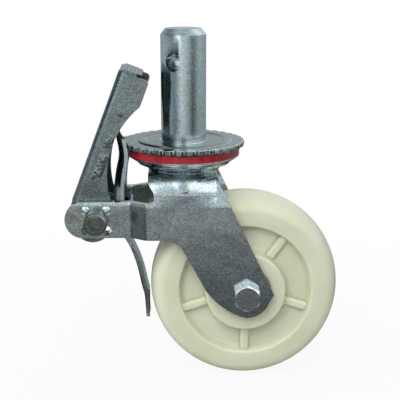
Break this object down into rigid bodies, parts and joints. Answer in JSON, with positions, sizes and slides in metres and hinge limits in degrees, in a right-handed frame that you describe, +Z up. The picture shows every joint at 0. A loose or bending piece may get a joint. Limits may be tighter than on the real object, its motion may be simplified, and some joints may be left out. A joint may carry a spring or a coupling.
{
  "type": "scaffold castor",
  "caption": "Swivel castor for a tower scaffold, with a plated round stem, a pressed fork, a nylon wheel and a foot pedal that brakes the wheel and locks the swivel.",
  "frame": {"origin": "on the swivel axis, at the top face of the toothed plate, where the stem starts", "axes": "+Z up along the stem, +X towards the wheel, +Y towards the side with the nuts"},
  "size_m": [0.2148, 0.1004, 0.2775],
  "materials": {
    "zinc_plated_bar": "satin",
    "zinc_plated_steel": "satin",
    "bearing_steel": "polished",
    "yellow_passivated_steel": "satin",
    "red_plastic": "gloss",
    "ivory_nylon": "satin"
  },
  "bodies": {
    "head": {"stem": "zinc_plated_bar", "toothed_plate": "zinc_plated_steel", "lower_cup": "zinc_plated_steel", "king_washer": "zinc_plated_steel", "king_nut": "zinc_plated_steel"},
    "upper_ball_set": {"upper_balls": "bearing_steel"},
    "lower_ball_set": {"lower_balls": "bearing_steel"},
    "frame": {"fork": "zinc_plated_steel", "race_bowl": "zinc_plated_steel", "dust_ring": "red_plastic", "bearing_inner_near": "bearing_steel", "bearing_inner_far": "bearing_steel", "bearing_spacer": "zinc_plated_steel", "axle_sleeve": "zinc_plated_steel", "dust_cap_near": "yellow_passivated_steel", "dust_cap_far": "yellow_passivated_steel", "axle_bolt": "zinc_plated_steel", "axle_washer": "zinc_plated_steel", "axle_nut": "zinc_plated_steel", "pivot_screw": "zinc_plated_steel", "pivot_sleeve": "zinc_plated_steel", "pivot_washer": "zinc_plated_steel", "pivot_nut": "zinc_plated_steel", "detent_plungers": "zinc_plated_steel", "lever_bridge": "zinc_plated_steel", "guide_rivets": "zinc_plated_steel", "return_spring": "bearing_steel"},
    "wheel": {"wheel": "ivory_nylon", "bearing_outer_near": "bearing_steel", "bearing_outer_far": "bearing_steel"},
    "wheel_ball_set": {"bearing_balls_near": "bearing_steel", "bearing_balls_far": "bearing_steel"},
    "pedal": {"pedal": "zinc_plated_steel"},
    "lever": {"brake_lever": "zinc_plated_steel"}
  },
  "joints": [
    {"name": "swivel", "type": "hinge", "parent": "head", "child": "frame", "pos_m": [0, 0, 0], "axis": [0, 0, 1], "continuous": true},
    {"name": "upper_ball_roll", "type": "hinge", "parent": "head", "child": "upper_ball_set", "pos_m": [0, 0, 0], "axis": [0, 0, 1], "continuous": true},
    {"name": "lower_ball_roll", "type": "hinge", "parent": "head", "child": "lower_ball_set", "pos_m": [0, 0, 0], "axis": [0, 0, 1], "continuous": true},
    {"name": "wheel_spin", "type": "hinge", "parent": "frame", "child": "wheel", "pos_m": [0.048, 0, -0.1165], "axis": [0, 1, 0], "continuous": true},
    {"name": "wheel_ball_roll", "type": "hinge", "parent": "frame", "child": "wheel_ball_set", "pos_m": [0.048, 0, -0.1165], "axis": [0, 1, 0], "continuous": true},
    {"name": "pedal_press", "type": "hinge", "parent": "frame", "child": "pedal", "pos_m": [-0.0677, 0, -0.0574], "axis": [0, -1, 0], "range_deg": [0, 90]},
    {"name": "brake_push", "type": "slide", "parent": "frame", "child": "lever", "axis": [1, 0, 0], "range_m": [0, 0.001], "deforming": ["return_spring"]}
  ],
  "couplings": [
    {"joint": "upper_ball_roll", "follows": "swivel", "ratio": 0.5},
    {"joint": "lower_ball_roll", "follows": "swivel", "ratio": 0.5},
    {"joint": "wheel_ball_roll", "follows": "wheel_spin", "ratio": 0.609},
    {"joint": "brake_push", "follows": "pedal_press", "m_per_rad": 0.00063662}
  ]
}
